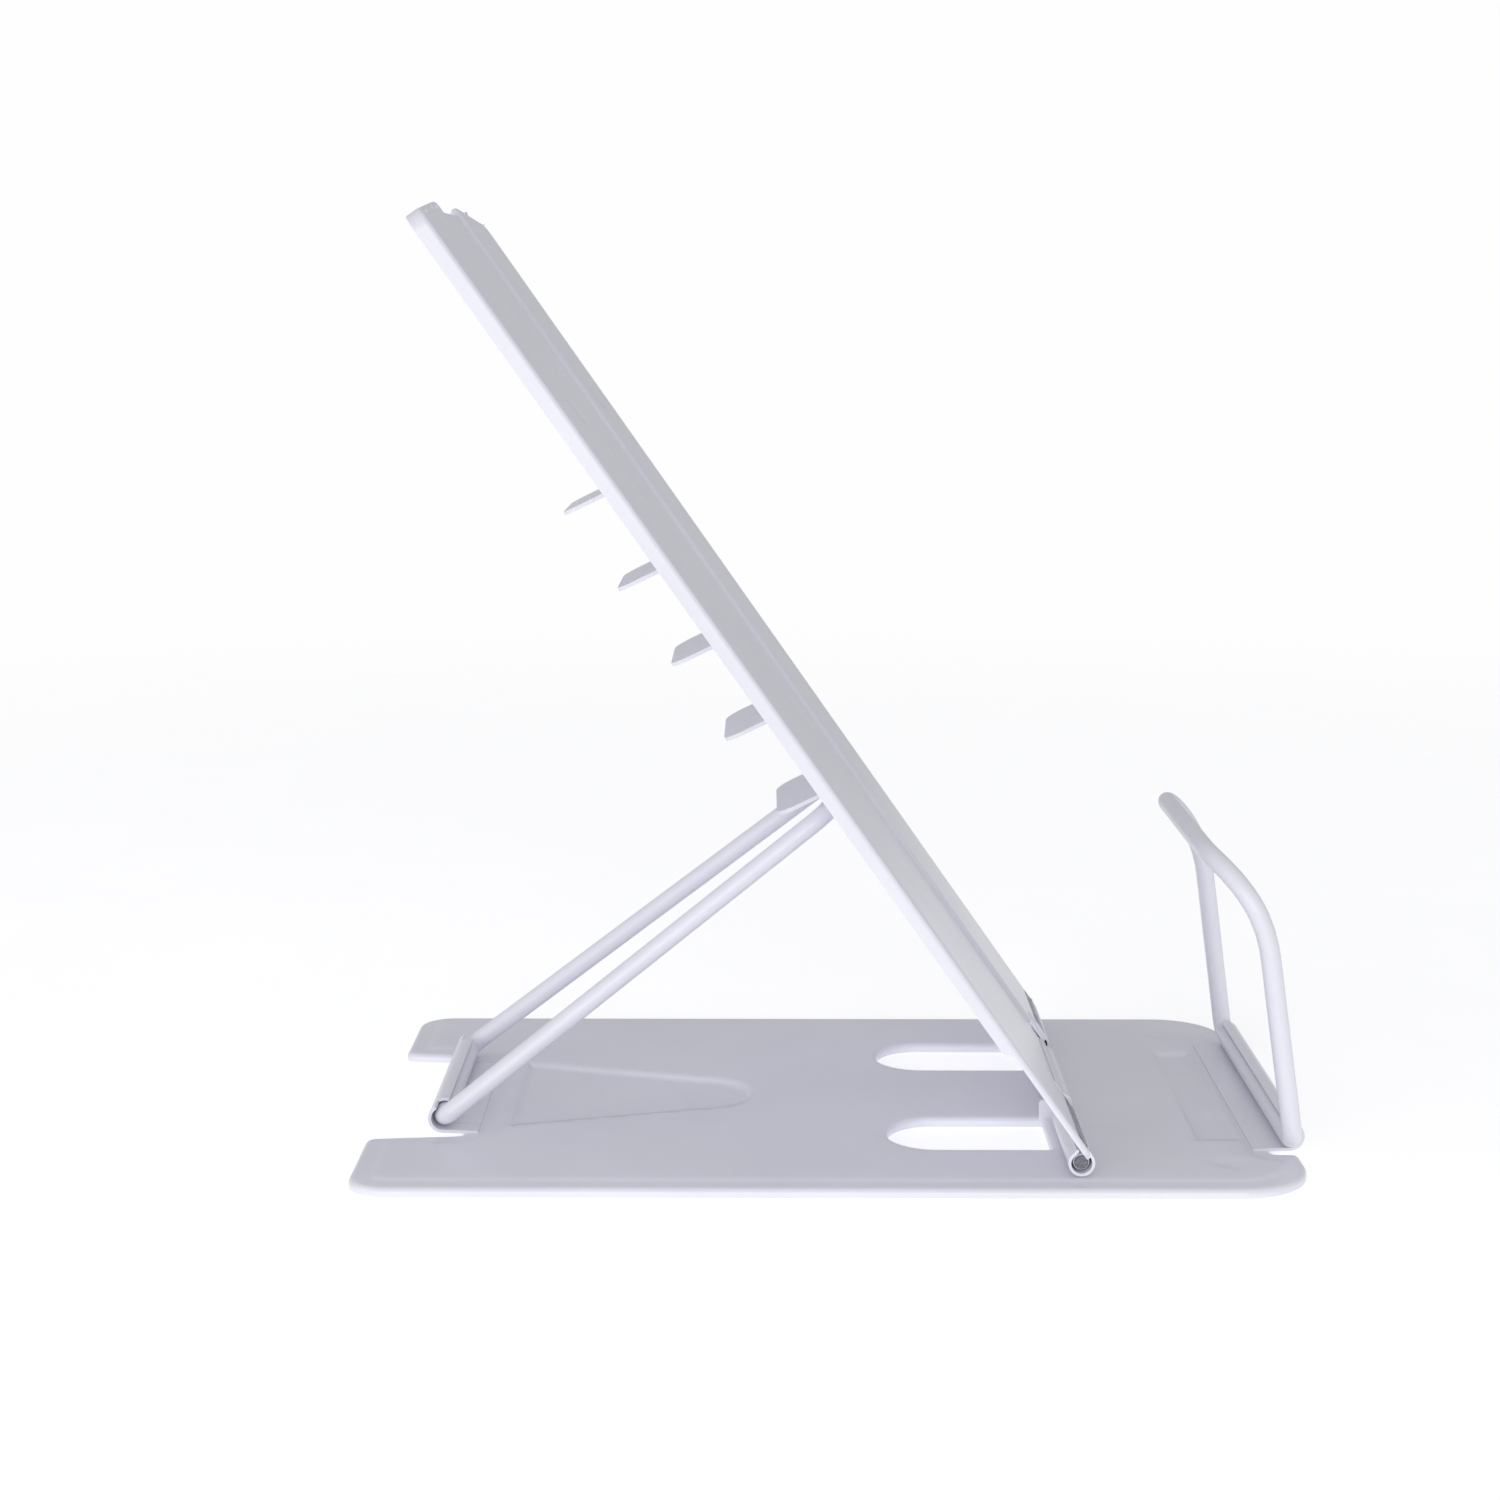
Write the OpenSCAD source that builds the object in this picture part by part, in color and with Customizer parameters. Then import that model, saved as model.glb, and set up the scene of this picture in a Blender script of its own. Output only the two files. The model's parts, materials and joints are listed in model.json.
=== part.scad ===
// Folding laptop stand: a pressed base plate, a tilting back plate with a rack of
// five rest tabs, a wire strut behind it and a wire retaining loop in front.
// +X is the user's side, +Z is up, and the stand rests on z = 0.

/* [Base plate] */
// Width of the base plate
base_w = 150; // [140:1:160]
// Rear leg tips, distance behind the origin
base_rear = 118.25; // [116:0.25:120]
// Front edge of the plate, distance ahead of the origin
base_front = 116.5; // [116:0.5:117]
// Height of the base plate's top face above the table
base_top = 2.8; // [2.6:0.1:3]
// Radius of the front corners
front_corner_r = 19; // [15:1:22]
// Radius of the rear corners
rear_corner_r = 9.5; // [8:0.5:11]
// Half width of the rear notch at the leg tips
notch_tip = 37; // [36:0.5:39]

/* [Sheet] */
// Thickness of the pressed steel sheet
sheet_t = 1.2; // [1:0.1:1.4]
// Depth of the shallow embossed panels
emboss = 1.1; // [0.6:0.1:1.1]

/* [Wire] */
// Diameter of the strut and loop wire
wire_d = 5; // [4.6:0.1:5.2]
// Running clearance of the wire in its curl, on the radius
wire_fit = 0.05; // [0.03:0.01:0.08]
// Height of the wire axes in the two curls
curl_z = 6; // [5.9:0.1:6.2]

/* [Strut] */
// Distance of the strut's pivot behind the origin
strut_x = 99.3; // [99:0.1:100]
// Half length of the rear curl
rear_curl_half = 33; // [32:0.5:34]
// Length from the pivot to the strut's top bar
strut_len = 127.8; // [127.5:0.1:127.9]
// Angle of the strut above the table
strut_angle = 38.2; // [37.8:0.1:38.4]

/* [Retaining loop] */
// Distance of the loop's pivot ahead of the origin
loop_x = 114.6; // [114:0.1:114.6]
// Half length of the front curl
front_curl_half = 46; // [44:0.5:47]
// Length of the loop's wire form from its pivot to its far bar
loop_len = 75.2; // [70:0.1:78]
// Lean of the loop's legs away from the user
loop_lean = 8.3; // [4:0.1:10]
// Radius of the backward bend near the loop's top
loop_back_r = 36; // [34:1:44]

/* [Back plate] */
// Width of the back plate
back_w = 138; // [132:1:140]
// Length of the back plate from its hinge to its top edge
back_len = 279; // [276:1:283]
// Angle of the back plate above the table
tilt = 54.9; // [54.9:0.1:56]
// Distance of the hinge ahead of the origin
hinge_x = 59.9; // [59:0.1:60]
// Height of the hinge above the table
hinge_z = 6.4; // [6.4:0.1:6.8]
// Diameter of the hinge rod
rod_d = 4; // [3.6:0.1:4.2]
// Half width of the sunk middle channel
channel_half = 21; // [20.5:0.5:24]
// Depth of the sunk middle channel
channel_drop = 1; // [0.8:0.1:1]
// Radius of the top corners
top_corner_r = 5; // [4:1:10]
// How far the top edge falls from the channel to the sides
top_fall = 4; // [2:0.5:8]

/* [Rest tabs] */
// Distance of the lowest tab from the hinge
tab_first = 101.3; // [101:0.1:102]
// Distance between two tabs
tab_pitch = 23.5; // [22:0.1:25]
// Number of tabs
tab_count = 5; // [3:1:6]
// Width of a tab
tab_w = 38; // [30:1:42]
// Length of a tab
tab_len = 17.5; // [15:0.5:18]
// Thickness of the rack that the tabs are bent from
rack_t = 1; // [0.8:0.1:1]

/* [Hidden] */
$fn = 48;
eps = 0.01;

steel = [0.90, 0.90, 0.94];
rubber = [0.16, 0.16, 0.17];

wire_r = wire_d / 2;
curl_bore = wire_r + wire_fit;
curl_r = curl_bore + sheet_t;
rod_r = rod_d / 2;
rod_fit = 0.05;
knuckle_r = rod_r + rod_fit + sheet_t;

rim_z = 0.4;                          // lower edge of the base plate's turned rim
base_under = base_top - sheet_t;
notch_end_x = -strut_x + 5;           // where the rear notch ends and the tongue begins
notch_end = rear_curl_half + 1.5;
slot_in = 21.6;                       // inner and outer side of the long slots
slot_out = 46;
slot_rear_x = 14.5;
slot_front_x = 55.2;
lug_r = 3.2;
lug_back = 5.5;                       // how far the lugs reach behind the rod
lug_y = slot_in - sheet_t;
foot_r = 6;
foot_rear_x = -103;
foot_front_x = 97;
foot_y = 56;

knuckle_in = 33;                      // knuckles of the back plate, along the hinge
knuckle_out = back_w / 2 - 1;
arm_len = 33;                         // bare arms below the turned side flanges
cut_len = 10;                         // openings beside the middle knuckle
middle_half = lug_y - 0.4;            // half width of the middle knuckle
flange_extra = 0.9;                   // how much deeper the side flanges are at the top
window_len = 17;                      // windows that the tabs leave in the rack
rack_half = 27;
rack_end = 9;                         // solid ends of the rack past its tabs
tab_lean = 9;
floor_back = knuckle_r - channel_drop - sheet_t;

strut_low = 32;                       // half spacing of the strut's legs below and above
strut_high = 20;
strut_foot_r = 3;                     // bend radii of the strut at its pivot and top
strut_bend = 8;
loop_low = 50;
loop_high = 48;
loop_foot_r = 4;
loop_bend = 18;
loop_straight = 47.2;                 // straight stretch of the loop's legs
curl_slit = 27;                       // where the rear curl opens up for the strut's legs
wire_sides = 12;
leg_steps = 6;
seam = 0.03;                          // keeps the swept part just inside the pivot bar's edge

// Flat outline of a rounded rectangle from (x0, -h) to (x1, h), with its own
// radius at each end.
module rounded_plate(x0, x1, h, r0, r1) {
    difference() {
        translate([x0, -h]) square([x1 - x0, 2 * h]);
        for (s = [-1, 1]) {
            corner_waste(x0, s * h, 1, -s, r0);
            corner_waste(x1, s * h, -1, -s, r1);
        }
    }
}

// What a rounded corner takes off at (x, y); dx and dy point into the plate.
module corner_waste(x, y, dx, dy, r) {
    difference() {
        translate([x - (dx > 0 ? 1 : r), y - (dy > 0 ? 1 : r)]) square(r + 1);
        translate([x + dx * r, y + dy * r]) circle(r);
    }
}

// Outline of the base plate, drawn in by e on every side.
module base_outline(e) {
    tip = notch_tip + e;
    end = notch_end + e;
    x_end = notch_end_x + e;
    x_tip = -base_rear + e;
    difference() {
        rounded_plate(x_tip, base_front - e, base_w / 2 - e,
                      rear_corner_r - e, front_corner_r - e);
        polygon([[x_tip - 1, -tip], [x_end, -end], [x_end, end], [x_tip - 1, tip]]);
        for (s = [-1, 1])
            corner_waste(x_tip, s * tip, 1, s, 3);
        // relief ahead of the front curl
        translate([loop_x - curl_r - 0.8, -front_curl_half - 2 - e])
            square([20, 2 * (front_curl_half + 2 + e)]);
    }
}

// One of the two long slots, grown by e: round at the rear, straight at the front.
module slot_outline(s, e) {
    half = (slot_out - slot_in) / 2;
    middle = s * (slot_in + slot_out) / 2;
    translate([slot_rear_x + half, middle]) circle(half + e);
    translate([slot_rear_x + half, middle - half - e])
        square([slot_front_x + e - slot_rear_x - half, 2 * (half + e)]);
}

// Tapered recess that runs forward from the strut's curl to a round tip.
module recess_outline(e) {
    x0 = notch_end_x + 12;
    x1 = -34;
    tip_r = 13;
    polygon([[x0 - e, -27 - e], [x1, -tip_r - e], [x1, tip_r + e], [x0 - e, 27 + e]]);
    translate([x1, 0]) circle(tip_r + e);
}

// Narrow pocket behind the loop's curl.
module front_panel_outline(e) {
    rounded_plate(loop_x - 21.5 - e, loop_x - 12 + e, 38 + e, 3, 3);
}

// A curl of sheet round a wire along Y, from y0 to y1, with a gap between the
// directions a0 and a1 (seen from the near side, +X at 0 and up at 90).
module curl(x, y0, y1, a0, a1) {
    reach = 3 * curl_r;
    far = [for (a = [a0 : (a1 - a0) / 6 : a1]) reach * [cos(a), sin(a)]];
    translate([x, y1, curl_z]) rotate([90, 0, 0]) difference() {
        cylinder(r = curl_r, h = y1 - y0);
        translate([0, 0, -1]) cylinder(r = curl_bore, h = y1 - y0 + 2);
        translate([0, 0, -1]) linear_extrude(y1 - y0 + 2) polygon(concat([[0, 0]], far));
    }
}

// The tongue of sheet that runs from the plate under the wire.
module tongue(x0, x1, half) {
    difference() {
        translate([x0, -half, curl_z - curl_r]) cube([x1 - x0, 2 * half, sheet_t]);
        for (x = [-strut_x, loop_x])
            translate([x, half + 1, curl_z]) rotate([90, 0, 0])
                cylinder(r = curl_bore, h = 2 * half + 2);
    }
}

// Upright lug with the hole for the hinge rod; most of it stands behind the rod.
module lug(s) {
    y = s > 0 ? lug_y : -slot_in;
    difference() {
        union() {
            translate([hinge_x, y + sheet_t, hinge_z]) rotate([90, 0, 0])
                cylinder(r = lug_r, h = sheet_t);
            translate([hinge_x - lug_back, y, base_under])
                cube([lug_back + lug_r, sheet_t, hinge_z - base_under]);
            translate([hinge_x - lug_back, y, hinge_z - eps])
                cube([lug_back, sheet_t, lug_r - 2]);
        }
        translate([hinge_x, y + sheet_t + 1, hinge_z]) rotate([90, 0, 0])
            cylinder(r = rod_r + rod_fit, h = sheet_t + 2);
    }
}

module base_plate() {
    color(steel) {
        // top sheet with its slots and pressed panels
        difference() {
            union() {
                translate([0, 0, base_under]) linear_extrude(sheet_t) base_outline(0);
                translate([0, 0, base_under - emboss]) linear_extrude(sheet_t) {
                    recess_outline(sheet_t);
                    front_panel_outline(sheet_t);
                }
            }
            translate([0, 0, base_top - emboss]) linear_extrude(2) {
                recess_outline(0);
                front_panel_outline(0);
            }
            for (s = [-1, 1])
                translate([0, 0, -1]) linear_extrude(base_top + 2) slot_outline(s, 0);
        }
        // turned-down rim
        translate([0, 0, rim_z]) linear_extrude(base_top - rim_z - eps) difference() {
            base_outline(0);
            base_outline(sheet_t);
        }
        // rolled rims of the slots
        for (s = [-1, 1])
            translate([0, 0, rim_z]) linear_extrude(base_top - rim_z - eps) difference() {
                slot_outline(s, sheet_t);
                slot_outline(s, 0);
            }
        tongue(-strut_x, notch_end_x + 3, curl_slit);
        tongue(loop_x - curl_r - 4, loop_x, front_curl_half);
        curl(-strut_x, -curl_slit, curl_slit, -20, 72);
        for (s = [-1, 1])
            curl(-strut_x, min(s * curl_slit, s * rear_curl_half),
                 max(s * curl_slit, s * rear_curl_half), -82, 122);
        curl(loop_x, -front_curl_half, front_curl_half, 108, 160);
        for (s = [-1, 1])
            lug(s);
    }
}

function unit(v) = v / norm(v);

// Direction of a path at its point i.
function heading(p, i) = unit(p[min(i + 1, len(p) - 1)] - p[max(i - 1, 0)]);

// Points of a circle of radius r round c, across the direction t.
function ring(c, t, r, n) =
    let (b = unit(cross(t, [1, 0, 0])), a = cross(b, t))
    [for (k = [0 : n - 1]) c + r * (cos(360 * k / n) * a + sin(360 * k / n) * b)];

// Round wire swept along a path.
module swept_wire(path) {
    n = wire_sides;
    last = len(path) - 1;
    points = [for (i = [0 : last]) each ring(path[i], heading(path, i), wire_r - seam, n)];
    sides = [for (i = [0 : last - 1], k = [0 : n - 1])
        [i * n + k, (i + 1) * n + k, (i + 1) * n + (k + 1) % n, i * n + (k + 1) % n]];
    ends = [[for (k = [0 : n - 1]) k], [for (k = [n - 1 : -1 : 0]) last * n + k]];
    polyhedron(points, concat(sides, ends));
}

// Points of an arc round (cy, ch), from angle a0 to a1.
function bend(cy, ch, r, a0, a1, n) =
    [for (i = [0 : n]) let (a = a0 + (a1 - a0) * i / n) [cy + r * cos(a), ch + r * sin(a)]];

// Half of a bent wire as [y, distance from the pivot]: out along the pivot, up a
// leg and over to the middle of the far bar.
function wire_half(low, high, reach, r0, r1) =
    let (slope = atan2(low - high, reach - r0 - r1))
    concat([[low - r0 - 2, 0]],
           bend(low - r0, r0, r0, -90, slope, 6),
           [for (i = [1 : leg_steps]) let (f = i / (leg_steps + 1))
               [low + (high - low) * f, r0 + (reach - r0 - r1) * f]],
           bend(high - r1, reach - r1, r1, slope, 90, 8));

// Both halves joined to one path.
function mirrored(half) = concat(half,
    [for (i = [len(half) - 1 : -1 : 0]) [-half[i][0], half[i][1]]]);

// Pivot bar of a wire, which turns in its curl.
module pivot_bar(low, r0) {
    half = low - r0 - 2;
    translate([0, half, 0]) rotate([90, 0, 0]) cylinder(r = wire_r, h = 2 * half);
}

module strut_wire() {
    half = wire_half(strut_low, strut_high, strut_len, strut_foot_r, strut_bend);
    color(steel) translate([-strut_x, 0, curl_z]) {
        rotate([0, 90 - strut_angle, 0])
            swept_wire([for (p = mirrored(half)) [0, p[0], p[1]]]);
        pivot_bar(strut_low, strut_foot_r);
    }
}

// Side profile of the loop: [x, z] from its pivot after a length h of wire, first
// straight, then bent backwards.
function loop_side(h) = h < loop_straight
    ? h * [-sin(loop_lean), cos(loop_lean)]
    : let (a = loop_lean + (h - loop_straight) / loop_back_r * 180 / PI)
      loop_side(loop_straight * 0.9999)
      + loop_back_r * [cos(a) - cos(loop_lean), sin(a) - sin(loop_lean)];

module retaining_loop() {
    half = wire_half(loop_low, loop_high, loop_len, loop_foot_r, loop_bend);
    color(steel) translate([loop_x, 0, curl_z]) {
        swept_wire([for (p = mirrored(half)) let (q = loop_side(p[1])) [q[0], p[0], q[1]]]);
        pivot_bar(loop_low, loop_foot_r);
    }
}

// Outline of the back plate lying flat, drawn in by e: the hinge at x = 0, the top
// at -back_len. The top edge falls from the channel to the rounded corners.
module back_outline(e) {
    side = back_w / 2 - e;
    top = -back_len + e;
    r = top_corner_r - e;
    slope = atan(top_fall / (back_w / 2 - channel_half));
    cx = top + (r + (side - r - channel_half) * sin(slope)) / cos(slope);
    half = concat([[-2, side]],
                  [for (i = [0 : 6]) let (a = 90 + (90 - slope) * i / 6)
                      [cx + r * cos(a), side - r + r * sin(a)]],
                  [[top, channel_half]]);
    polygon(concat(half, [for (i = [len(half) - 1 : -1 : 0]) [half[i][0], -half[i][1]]]));
}

// One rest tab, standing on the back of the rack.
module rest_tab(u) {
    translate([-u, 0, floor_back - rack_t / 2]) rotate([0, tab_lean, 0])
        translate([-rack_t / 2, 0, -tab_len]) rotate([90, 0, 90]) linear_extrude(rack_t)
            difference() {
                translate([-tab_w / 2, 0]) square([tab_w, tab_len]);
                for (s = [-1, 1])
                    corner_waste(s * tab_w / 2, 0, -s, 1, 5);
            }
}

// The rack lies flat on the back of the channel and carries the five rest tabs.
module rest_rack_flat() {
    first = tab_first - rack_end;
    last = tab_first + (tab_count - 1) * tab_pitch + window_len + rack_end;
    difference() {
        translate([0, 0, floor_back - rack_t]) linear_extrude(rack_t)
            rounded_plate(-last, -first, rack_half, 6, 6);
        for (i = [0 : tab_count - 1])
            translate([-tab_first - i * tab_pitch - window_len, -tab_w / 2 - 0.5, -5])
                cube([window_len, tab_w + 1, 20]);
    }
    for (i = [0 : tab_count - 1])
        rest_tab(tab_first + i * tab_pitch);
}

module rest_rack() {
    color(steel) translate([hinge_x, 0, hinge_z]) rotate([0, tilt, 0]) rest_rack_flat();
}

// Sheet rolled round the hinge rod from y0 to y1, with the plate's end running into it.
module knuckle(y0, y1, back) {
    translate([0, y1, 0]) rotate([90, 0, 0]) difference() {
        cylinder(r = knuckle_r, h = y1 - y0);
        translate([0, 0, -1]) cylinder(r = rod_r + rod_fit, h = y1 - y0 + 2);
    }
    translate([-3, y0, back]) cube([back > rod_r ? 3 : 3 - rod_r - rod_fit, y1 - y0, sheet_t]);
}

module back_plate_flat() {
    side = back_w / 2;
    front = knuckle_r;
    back = front - sheet_t;
    difference() {
        union() {
            // front sheet on both sides of the channel
            translate([0, 0, back]) linear_extrude(sheet_t) back_outline(0);
            // channel floor, down to the middle knuckle
            translate([-back_len, -channel_half - sheet_t, floor_back])
                cube([back_len - rod_r, 2 * (channel_half + sheet_t), sheet_t]);
            // channel walls
            for (s = [-1, 1])
                translate([-back_len, s * (channel_half + sheet_t / 2) - sheet_t / 2, floor_back])
                    cube([back_len - cut_len, sheet_t, channel_drop + sheet_t]);
        }
        // the channel itself, open at the top edge
        translate([-back_len - 1, -channel_half, floor_back + sheet_t])
            cube([back_len + 2, 2 * channel_half, 10]);
        // openings between the middle knuckle and the arms
        for (y = [-knuckle_in, middle_half])
            translate([-cut_len, y, -5]) cube([cut_len + 5, knuckle_in - middle_half, 10]);
        translate([0, middle_half + 1, 0]) rotate([90, 0, 0])
            cylinder(r = rod_r + rod_fit, h = 2 * middle_half + 2);
    }
    // turned side flanges, deeper towards the top
    difference() {
        translate([0, 0, -flange_extra]) linear_extrude(front + flange_extra - eps)
            difference() {
                back_outline(0);
                back_outline(sheet_t);
            }
        translate([-back_len - 1, -channel_half, -5]) cube([20, 2 * channel_half, 20]);
        translate([-arm_len, -side - 1, -5]) cube([arm_len + 5, 2 * side + 2, back + 5]);
        rotate([0, -atan(flange_extra / back_len), 0])
            translate([-back_len - 5, -side - 1, -5 - eps]) cube([back_len + 10, 2 * side + 2, 5]);
    }
    knuckle(-knuckle_out, -knuckle_in, back);
    knuckle(-middle_half, middle_half, floor_back);
    knuckle(knuckle_in, knuckle_out, back);
}

module back_plate() {
    color(steel) translate([hinge_x, 0, hinge_z]) rotate([0, tilt, 0]) back_plate_flat();
}

module hinge_rod() {
    rod_half = knuckle_out - 1;
    color(steel) translate([hinge_x, rod_half, hinge_z]) rotate([90, 0, 0])
        cylinder(r = rod_r, h = 2 * rod_half);
}

module foot(x, s) {
    color(rubber) translate([x, s * foot_y, 0]) cylinder(r = foot_r, h = base_under);
}

module foot_rear_left() { foot(foot_rear_x, -1); }
module foot_rear_right() { foot(foot_rear_x, 1); }
module foot_front_left() { foot(foot_front_x, -1); }
module foot_front_right() { foot(foot_front_x, 1); }

base_plate();
back_plate();
rest_rack();
strut_wire();
retaining_loop();
hinge_rod();
foot_rear_left();
foot_rear_right();
foot_front_left();
foot_front_right();
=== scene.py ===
import json
import math

import bmesh
import bpy
import numpy as np
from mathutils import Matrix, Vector
from mathutils.geometry import delaunay_2d_cdt


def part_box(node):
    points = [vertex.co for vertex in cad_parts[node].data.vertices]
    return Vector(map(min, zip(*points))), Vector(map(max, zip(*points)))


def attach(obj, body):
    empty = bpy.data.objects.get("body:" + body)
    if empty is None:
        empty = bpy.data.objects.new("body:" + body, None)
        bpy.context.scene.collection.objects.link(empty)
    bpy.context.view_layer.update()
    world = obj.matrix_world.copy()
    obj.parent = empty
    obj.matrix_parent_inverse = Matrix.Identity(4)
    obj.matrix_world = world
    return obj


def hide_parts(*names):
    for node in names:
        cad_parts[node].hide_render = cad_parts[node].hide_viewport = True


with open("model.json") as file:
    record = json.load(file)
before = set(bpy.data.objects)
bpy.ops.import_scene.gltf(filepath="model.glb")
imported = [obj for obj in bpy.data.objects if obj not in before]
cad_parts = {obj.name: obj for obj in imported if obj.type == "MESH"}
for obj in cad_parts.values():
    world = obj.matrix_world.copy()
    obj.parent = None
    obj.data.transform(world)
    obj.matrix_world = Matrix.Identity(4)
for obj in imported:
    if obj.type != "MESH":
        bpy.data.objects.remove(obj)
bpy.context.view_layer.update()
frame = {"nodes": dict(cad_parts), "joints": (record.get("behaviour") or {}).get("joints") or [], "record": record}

# Lengths in the shape functions are millimetres; MM turns them into metres.
MM = 0.001
JOINTS = {j["name"]: j for j in frame["joints"]}
MOUNTS = {m["name"]: m for m in frame["record"]["mounts"]}


def pivot(joint):
    """A joint's place seen from the side: x and z in millimetres."""
    x, _, z = JOINTS[joint]["pos_m"]
    return np.array([x, z]) / MM


def node_box(node):
    """A CAD node's lowest and highest corner in millimetres."""
    low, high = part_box(node)
    return np.array(low) / MM, np.array(high) / MM


# ---- Driving dimensions ----------------------------------------------------

# Sheets: the metal's thickness, the thickness of the base's and the back's mesh, and
# the radius of their rolled edges
SHEET = 1.2
BASE_SHEET = SHEET * 0.9
BACK_SHEET = 0.7
EDGE_ROLL = 1.5
BACK_ROLL = 1.2

BASE_LOW, BASE_HIGH = node_box("base_plate")
BACK_LOW, BACK_HIGH = node_box("back_plate")
STRUT_PIVOT = pivot("strut_swing")
LOOP_PIVOT = pivot("loop_fold")
HINGE = pivot("back_tilt")
WIRE_R = 2.5
ROD_R = 2
PLAY = 0.05

# Base plate: outline, turned rim and curls. NOTCH_TIP and NOTCH_END are the rear notch's
# half widths at its mouth and its end. The curls end at the angle CURL_END, and beside
# the slits in the rear one at EAR_END.
BASE_HALF = BASE_HIGH[1]
BASE_REAR = BASE_LOW[0]
BASE_FRONT = 116.5
BASE_TOP = 2.8
BASE_RIM = BASE_LOW[2]
FRONT_CORNER = 19
REAR_CORNER = 9.5
NOTCH_TIP = 37
NOTCH_END = 34.5
NOTCH_DEPTH = STRUT_PIVOT[0] + 5
REAR_CURL_HALF = 33
CURL_SLIT = 27
FRONT_CURL_HALF = 46
CURL_BORE = WIRE_R + PLAY
CURL_WALL = 0.8
CURL_GAP = 0.4
CURL_END = -288
EAR_END = -238

# Base plate: slots, and the lugs at their inner edges
SLOT_IN = 21.6
SLOT_OUT = 46
SLOT_REAR = 14.5
SLOT_FRONT = 55.2
LUG_R = 3.2
LUG_BACK = 5.5
LUG_LEVEL = LUG_R - 2
LUG_CUT = 0.7

# Base plate: pressed border, recess, pocket and dimples
BORDER = 0.5
BORDER_START, BORDER_SLOPE = 4.5, 2.6
EMBOSS = 1.1
SLOPE = 1.8
RECESS_REAR, RECESS_TIP = NOTCH_DEPTH + 12, -34
RECESS_HALF, RECESS_R = 27, 13
POCKET_REAR, POCKET_FRONT, POCKET_HALF = LOOP_PIVOT[0] - 21.5, LOOP_PIVOT[0] - 12, 38
POCKET_CORNER = 1.5
FOOT_DIMPLE_R, FOOT_DIMPLE_SLOPE = 4, 1.4

# Back plate: an end knuckle lies between KNUCKLE_IN and KNUCKLE_OUT, and the openings
# beside the middle one run up to CUT_LEN. The side flanges start at ARM_LEN. The top edge
# falls by TOP_FALL towards the sides and by NOTCH_FALL in the channel.
TILT = math.atan2(MOUNTS["device_rest"]["axis"][0], MOUNTS["device_rest"]["axis"][2])
BACK_HALF = BACK_HIGH[1]
BACK_LEN = 279
KNUCKLE_R = ROD_R + PLAY + SHEET
KNUCKLE_IN = 33
KNUCKLE_OUT = BACK_HALF - 1
KNUCKLE_WALL = 0.7
MIDDLE_HALF = SLOT_IN - SHEET - 0.4
ARM_LEN = 33
CUT_LEN = 10
TOP_CORNER = 5
TOP_FALL = 4
NOTCH_FALL = 1.8
CHANNEL_HALF = 21
CHANNEL_DROP = 1
CHANNEL_WALL = 1.4
FLANGE_EXTRA = 0.9
LIP = SHEET + 0.4
DIMPLE_U, DIMPLE_Y = 217, 42
DIMPLE_R, DIMPLE_SLOPE, DIMPLE_DROP = 3.2, 2, 0.5
DIMPLE_STRETCH = 1.7

# Rest rack: its tabs are counted from the lowest, and lean up the plate by TAB_LEAN
TAB_FIRST = 101.3
TAB_PITCH = 23.5
TAB_COUNT = 5
TAB_HALF = 19
TAB_LEN = 17.5
TAB_LEAN = math.radians(9)
TAB_BEND = 1.4
TAB_CORNER = 5
WINDOW_LEN = 17
RACK_SHEET = 1
RACK_HALF = 27
RACK_END = 9
RACK_CORNER = 6
RACK_MIDDLE = KNUCKLE_R - CHANNEL_DROP - SHEET - RACK_SHEET / 2

# Wires: half widths of the pivot bar (LOW) and of the far bar (HIGH), their bend radii,
# the length and the lean. The loop's legs are straight up to LOOP_STRAIGHT.
STRUT_LOW, STRUT_HIGH = 32, 20
STRUT_BEND_LOW, STRUT_BEND_HIGH = 3, 8
STRUT_LEN = 127.8
STRUT_ANGLE = math.radians(38.2)
LOOP_LOW, LOOP_HIGH = 50, 48
LOOP_BEND_LOW, LOOP_BEND_HIGH = 4, 18
LOOP_LEN = 75.2
LOOP_LEAN = math.radians(8.3)
LOOP_STRAIGHT = 47.2
LOOP_BACK_R = 36

# Meshes: how close points may lie to an outline, and how finely round shapes are cut
GUIDE_GAP = 0.4
GRID_GAP = 0.55
CHUNK = 2000
STRIP_POINTS = 13
WIRE_SIDES = 24
ROD_SIDES = 32
PAD_SIDES = 40

# ---- Flat outlines ---------------------------------------------------------


def rounded_loop(corners, step):
    """Points along a closed outline. corners are (x, y, radius), with the material
    on the left of the direction of travel."""
    points = []
    count = len(corners)
    for i, (x, y, r) in enumerate(corners):
        here = np.array([x, y], float)
        before = np.array(corners[i - 1][:2], float) - here
        after = np.array(corners[(i + 1) % count][:2], float) - here
        before /= np.linalg.norm(before)
        after /= np.linalg.norm(after)
        if r <= 0:
            points.append(here)
            continue
        half = math.acos(np.clip(before @ after, -1, 1)) / 2
        reach = r / math.tan(half)
        centre = here + (before + after) / np.linalg.norm(before + after) * r / math.sin(half)
        start = here + before * reach - centre
        turn = math.pi - 2 * half
        if before[0] * after[1] - before[1] * after[0] > 0:
            turn = -turn
        steps = max(3, int(math.ceil(abs(turn) * r / (step * 0.5))))
        for k in range(steps + 1):
            a = turn * k / steps
            c, s = math.cos(a), math.sin(a)
            points.append(centre + [c * start[0] - s * start[1], s * start[0] + c * start[1]])
    full = []
    for i, p in enumerate(points):
        q = points[(i + 1) % len(points)]
        n = max(1, int(round(np.linalg.norm(q - p) / step)))
        full += [p + (q - p) * k / n for k in range(n)]
    return np.array(full)


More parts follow.
